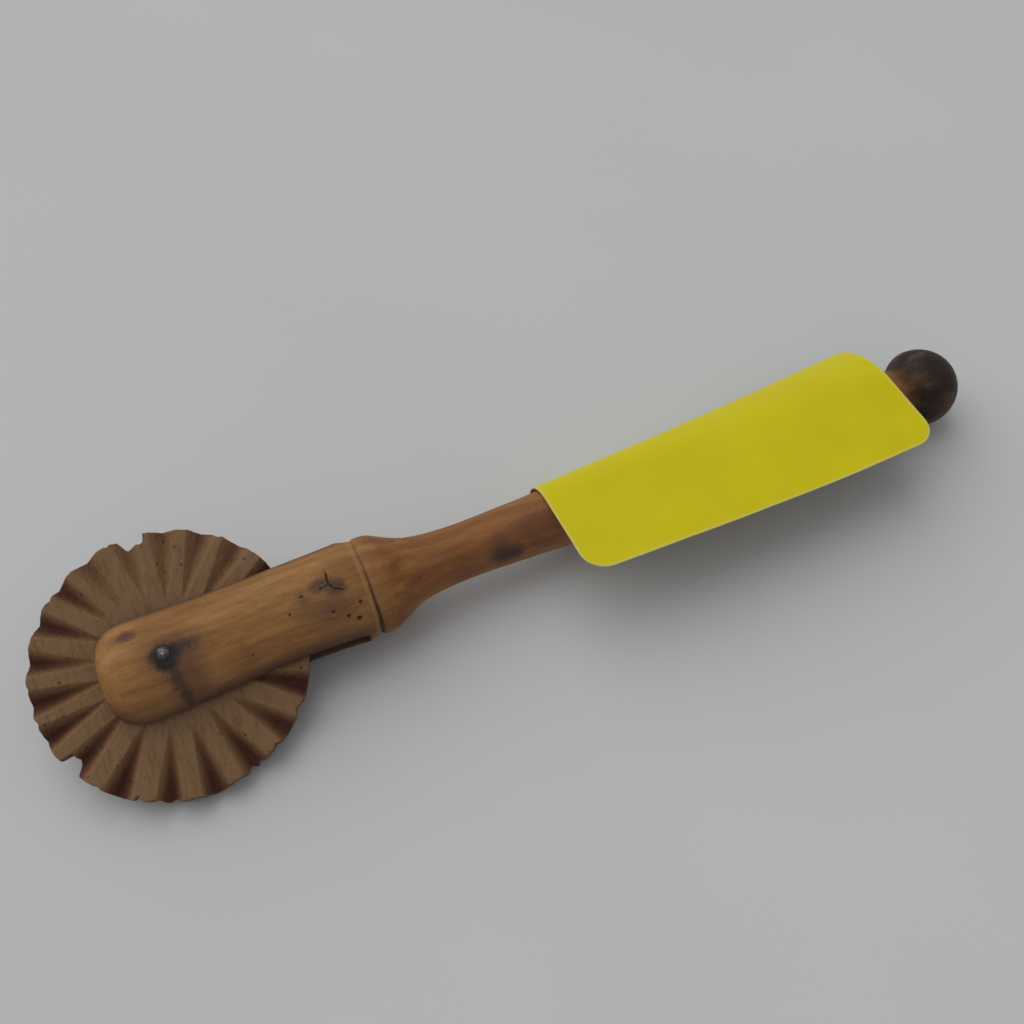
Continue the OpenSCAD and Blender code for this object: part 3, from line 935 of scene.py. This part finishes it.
def nail_iron():
    t = Tree("nail_iron")
    P = t.mm()
    n = t.noise(P, 2.4, 4.0, 0.7)
    f = t.noise(P, 6.0, 3.0, 0.7)
    near = t.spot(P, (-0.05, 0.2, 6.6), (0.42, 0.34, 0.6), 0.5)
    bright = t.m("MULTIPLY", near, t.span(f, 0.38, 0.62))
    col = t.ramp(n, [(0.35, (0.030, 0.022, 0.020)), (0.55, (0.072, 0.062, 0.062)), (0.7, (0.13, 0.115, 0.112))])
    col = t.mix(t.m("MULTIPLY", t.span(n, 0.62, 0.72), 0.4), col, (0.16, 0.07, 0.035))
    col = t.mix(bright, col, (0.36, 0.34, 0.34))
    t.put(t.bsdf.inputs["Base Color"], col)
    t.bsdf.inputs["Metallic"].default_value = 0.65
    t.put(t.bsdf.inputs["Roughness"], t.span(f, 0.3, 0.7, 0.62, 0.38))
    t.bump(t.m("MULTIPLY_ADD", f, 0.08, t.m("MULTIPLY", n, 0.08)))
    return t.mat


def label_paper():
    t = Tree("label_paper")
    P = t.mm()
    under, u, s = t.attr("under"), t.attr("along"), t.attr("across")
    cloud = t.noise(P, 0.11, 3.0, 0.5)
    grain = t.noise(P, 5.5, 3.0, 0.65)
    scuff = t.noise(t.v("MULTIPLY", P, (0.5, 1.6, 1.6)), 1.0, 4.0, 0.7)
    col = t.ramp(cloud, [(0.35, (0.655, 0.560, 0.003)), (0.55, (0.675, 0.582, 0.003)), (0.7, (0.690, 0.600, 0.005))])
    col = t.mix(t.m("MULTIPLY", t.span(grain, 0.56, 0.80), 0.30), col, (0.62, 0.52, 0.02))
    col = t.mix(t.m("MULTIPLY", t.span(scuff, 0.64, 0.80), 0.22), col, (0.80, 0.75, 0.22))
    edge_u = t.m("MINIMUM", u, t.m("SUBTRACT", LABEL_L, u))
    edge_s = t.m("MINIMUM", s, t.m("SUBTRACT", LABEL_H, s))
    edge = t.m("MINIMUM", edge_u, edge_s)
    worn = t.m("MULTIPLY", t.span(edge, 0.5, 0.06), t.span(grain, 0.35, 0.6, 0.2, 0.75))
    col = t.mix(worn, col, (0.66, 0.62, 0.20))
    back = t.ramp(grain, [(0.3, (0.52, 0.49, 0.33)), (0.7, (0.62, 0.60, 0.44))])
    col = t.mix(under, col, back)
    t.put(t.bsdf.inputs["Base Color"], col)
    t.put(t.bsdf.inputs["Roughness"], t.span(scuff, 0.35, 0.7, 0.42, 0.55))
    t.bsdf.inputs["Specular IOR Level"].default_value = 0.16
    h = t.m("MULTIPLY", grain, 0.006)
    h = t.m("MULTIPLY_ADD", t.noise(P, 0.55, 3.0, 0.6), 0.035, h)
    t.bump(h)
    return t.mat


def table_top():
    t = Tree("pale_floor")
    n = t.nt.nodes.new("ShaderNodeTexCoord")
    P = t.v("SCALE", n.outputs["Object"], scale=1000.0)
    cloud = t.noise(P, 0.012, 3.0, 0.5)
    col = t.ramp(cloud, [(0.3, (0.605, 0.610, 0.615)), (0.7, (0.635, 0.638, 0.640))])
    t.put(t.bsdf.inputs["Base Color"], col)
    t.bsdf.inputs["Roughness"].default_value = 0.6
    t.bsdf.inputs["Specular IOR Level"].default_value = 0.2
    return t.mat


# ---------------------------------------------------------------------------
# Pieces
# ---------------------------------------------------------------------------
handle = build_handle()
wear_handle(handle)
cut_pin_hole(handle)
finish_mesh(handle, wood_handle(), "handle", "handle")

wheel = build_wheel()
finish_mesh(wheel, wood_wheel(), "wheel", "crimping_wheel", 70)

nail = build_nail()
finish_mesh(nail, nail_iron(), "handle", "axle_pin")

label = build_label()
finish_mesh(label, label_paper(), "handle", "price_label")

# ---------------------------------------------------------------------------
# Floor, light and camera
# ---------------------------------------------------------------------------
me = bpy.data.meshes.new("floor")
me.from_pydata([(-3, -3, 0), (3, -3, 0), (3, 3, 0), (-3, 3, 0)], [], [(0, 1, 2, 3)])
floor = bpy.data.objects.new("floor", me)
bpy.context.scene.collection.objects.link(floor)
me.materials.append(table_top())

world = bpy.data.worlds.new("studio")
bpy.context.scene.world = world
world.use_nodes = True
back = world.node_tree.nodes["Background"]
back.inputs[0].default_value = (0.96, 0.98, 1.0, 1)
back.inputs[1].default_value = 0.385


def sun(name, direction, energy, angle, colour):
    """A sun that shines from this direction (towards the light)."""
    d = bpy.data.lights.new(name, "SUN")
    d.energy, d.angle, d.color = energy, math.radians(angle), colour
    ob = bpy.data.objects.new(name, d)
    bpy.context.scene.collection.objects.link(ob)
    v = np.array(direction, float)
    v /= np.linalg.norm(v)
    x = np.cross([0, 0, 1.0], v)
    x /= np.linalg.norm(x)
    y = np.cross(v, x)
    ob.matrix_world = Matrix([[x[0], y[0], v[0], 0], [x[1], y[1], v[1], 0], [x[2], y[2], v[2], 1], [0, 0, 0, 1]])
    return ob


sun("key", (-0.42, 0.62, 0.85), 1.36, 82, (1.0, 0.99, 0.97))

CAM = np.array([11.89057041, -31.03010277, 138.87403933])
ROWS = np.array([[0.91516484, -0.38300671, 0.12561522],
                 [0.33301215, 0.89401281, 0.2997399],
                 [-0.22710401, -0.23248003, 0.94571497]])
cam_data = bpy.data.cameras.new("camera")
cam_data.lens = 1150 / 1024 * 36
cam_data.sensor_width = 36
cam_data.sensor_fit = "HORIZONTAL"
cam_data.clip_start, cam_data.clip_end = 0.01, 20
cam = bpy.data.objects.new("camera", cam_data)
bpy.context.scene.collection.objects.link(cam)
loc = AX @ (CAM * 0.001) + AT
cols = AX @ ROWS.T
u_, s_, v_ = np.linalg.svd(cols)
cols = u_ @ v_
cam.matrix_world = Matrix([[*cols[0], loc[0]], [*cols[1], loc[1]], [*cols[2], loc[2]], [0, 0, 0, 1]])
bpy.context.scene.camera = cam

view = bpy.context.scene.view_settings
view.view_transform = "Standard"
view.look = "None"
view.exposure = 0.0
view.gamma = 1.0

bpy.context.view_layer.update()
